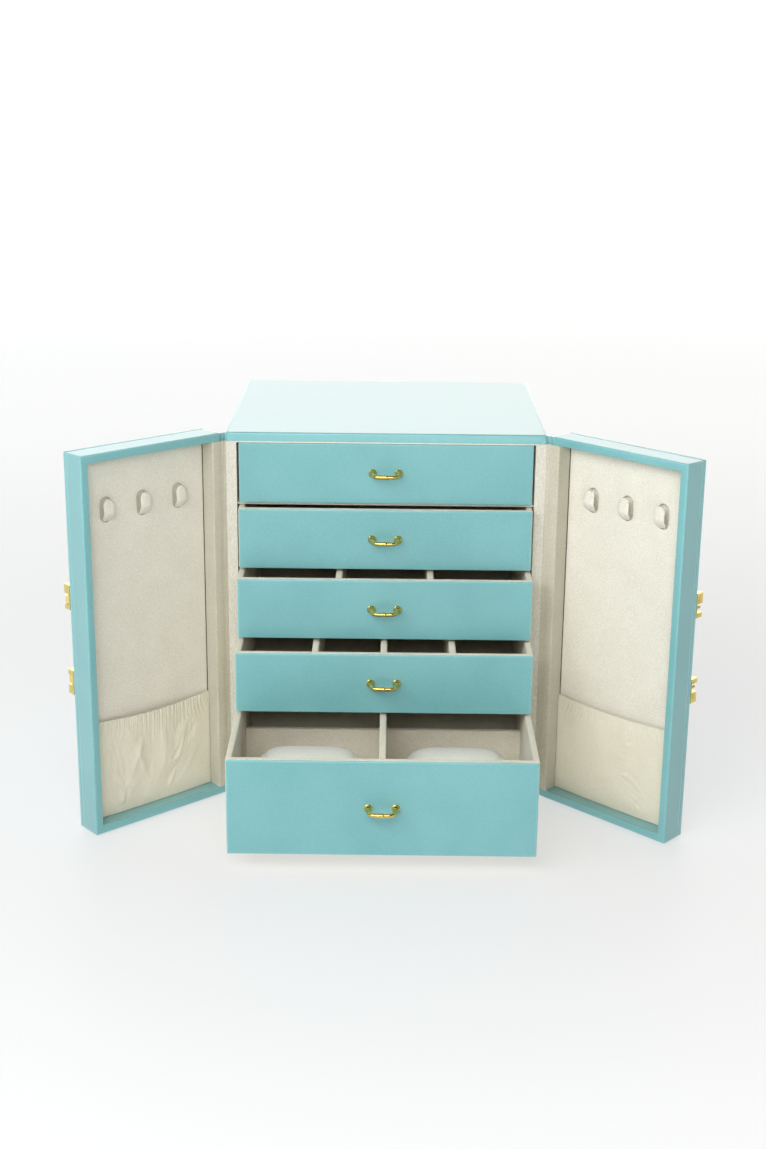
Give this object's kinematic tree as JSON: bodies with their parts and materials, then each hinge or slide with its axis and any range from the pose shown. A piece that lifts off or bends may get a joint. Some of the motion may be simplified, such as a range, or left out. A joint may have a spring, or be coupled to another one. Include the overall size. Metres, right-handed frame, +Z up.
{
  "type": "jewelry armoire",
  "caption": "Countertop jewelry armoire: leatherette cabinet with sliding lined drawers behind two hinged tray doors with necklace hooks, elastic pockets and hasp clasps",
  "frame": {"origin": "centre of the cabinet's base, on the surface it stands on", "axes": "front faces -Y, X to the right seen from the front, Z up"},
  "size_m": [0.4842, 0.3759, 0.305],
  "materials": {
    "leatherette": "soft satin, fine grain",
    "suede": "matte, short nap",
    "board": "raw fibreboard, covered",
    "felt": "matte",
    "gold_metal": "polished, light gold",
    "screw_steel": "bright"
  },
  "bodies": {
    "cabinet": {"outer_wrap": "leatherette", "top_panel": "board", "base_panel": "board", "side_panel_left": "board", "side_panel_right": "board", "back_panel": "board", "cabinet_lining": "suede", "base_felt": "felt", "shelf_1": "suede", "shelf_2": "suede", "shelf_3": "suede", "shelf_4": "suede", "hinge_leather_left": "leatherette", "hinge_leather_right": "leatherette", "hinge_lining_left": "suede", "hinge_lining_right": "suede"},
    "door_left": {"door_left_frame": "leatherette", "door_left_panel": "leatherette", "door_left_lining": "suede", "door_left_hooks": "suede", "door_left_pocket": "suede", "clasp_plates": "gold_metal", "clasp_pins": "gold_metal", "clasp_plate_rivets": "gold_metal"},
    "door_right": {"door_right_frame": "leatherette", "door_right_panel": "leatherette", "door_right_lining": "suede", "door_right_hooks": "suede", "door_right_pocket": "suede", "clasp_keepers": "gold_metal", "clasp_keeper_rivets": "gold_metal"},
    "hasp_upper": {"clasp_hasp_upper": "gold_metal"},
    "hasp_lower": {"clasp_hasp_lower": "gold_metal"},
    "drawer_1": {"drawer_1_front": "leatherette", "drawer_1_tray": "suede", "drawer_1_divider": "suede", "drawer_1_ring_rolls": "suede", "drawer_1_handle": "gold_metal", "drawer_1_screws": "screw_steel"},
    "drawer_2": {"drawer_2_front": "leatherette", "drawer_2_tray": "suede", "drawer_2_handle": "gold_metal", "drawer_2_screws": "screw_steel"},
    "drawer_3": {"drawer_3_front": "leatherette", "drawer_3_tray": "suede", "drawer_3_dividers": "suede", "drawer_3_handle": "gold_metal", "drawer_3_screws": "screw_steel"},
    "drawer_4": {"drawer_4_front": "leatherette", "drawer_4_tray": "suede", "drawer_4_dividers": "suede", "drawer_4_handle": "gold_metal", "drawer_4_screws": "screw_steel"},
    "drawer_5": {"drawer_5_front": "leatherette", "drawer_5_tray": "suede", "drawer_5_dividers": "suede", "watch_pillow_left": "suede", "watch_pillow_right": "suede", "drawer_5_handle": "gold_metal", "drawer_5_screws": "screw_steel"}
  },
  "joints": [
    {"name": "door_left_swing", "type": "hinge", "parent": "cabinet", "child": "door_left", "pos_m": [-0.1276, -0.10955, 0.15], "axis": [0, 0, -1], "range_deg": [-52, 42], "deforming": ["hinge_leather_left", "hinge_lining_left"]},
    {"name": "door_right_swing", "type": "hinge", "parent": "cabinet", "child": "door_right", "pos_m": [0.1276, -0.10955, 0.15], "axis": [0, 0, 1], "range_deg": [-50, 44], "deforming": ["hinge_leather_right", "hinge_lining_right"]},
    {"name": "drawer_1_slide", "type": "slide", "parent": "cabinet", "child": "drawer_1", "axis": [0, -1, 0], "range_m": [-0.011, 0.139]},
    {"name": "drawer_2_slide", "type": "slide", "parent": "cabinet", "child": "drawer_2", "axis": [0, -1, 0], "range_m": [-0.0214, 0.1286]},
    {"name": "drawer_3_slide", "type": "slide", "parent": "cabinet", "child": "drawer_3", "axis": [0, -1, 0], "range_m": [-0.0428, 0.1072]},
    {"name": "drawer_4_slide", "type": "slide", "parent": "cabinet", "child": "drawer_4", "axis": [0, -1, 0], "range_m": [-0.0715, 0.0785]},
    {"name": "drawer_5_slide", "type": "slide", "parent": "cabinet", "child": "drawer_5", "axis": [0, -1, 0], "range_m": [-0.16, 0.01]},
    {"name": "hasp_upper_swing", "type": "hinge", "parent": "door_left", "child": "hasp_upper", "pos_m": [-0.24014, -0.17152, 0.1887], "axis": [0, 0, 1], "range_deg": [0, 177]},
    {"name": "hasp_lower_swing", "type": "hinge", "parent": "door_left", "child": "hasp_lower", "pos_m": [-0.24014, -0.17152, 0.1243], "axis": [0, 0, 1], "range_deg": [0, 177]}
  ]
}
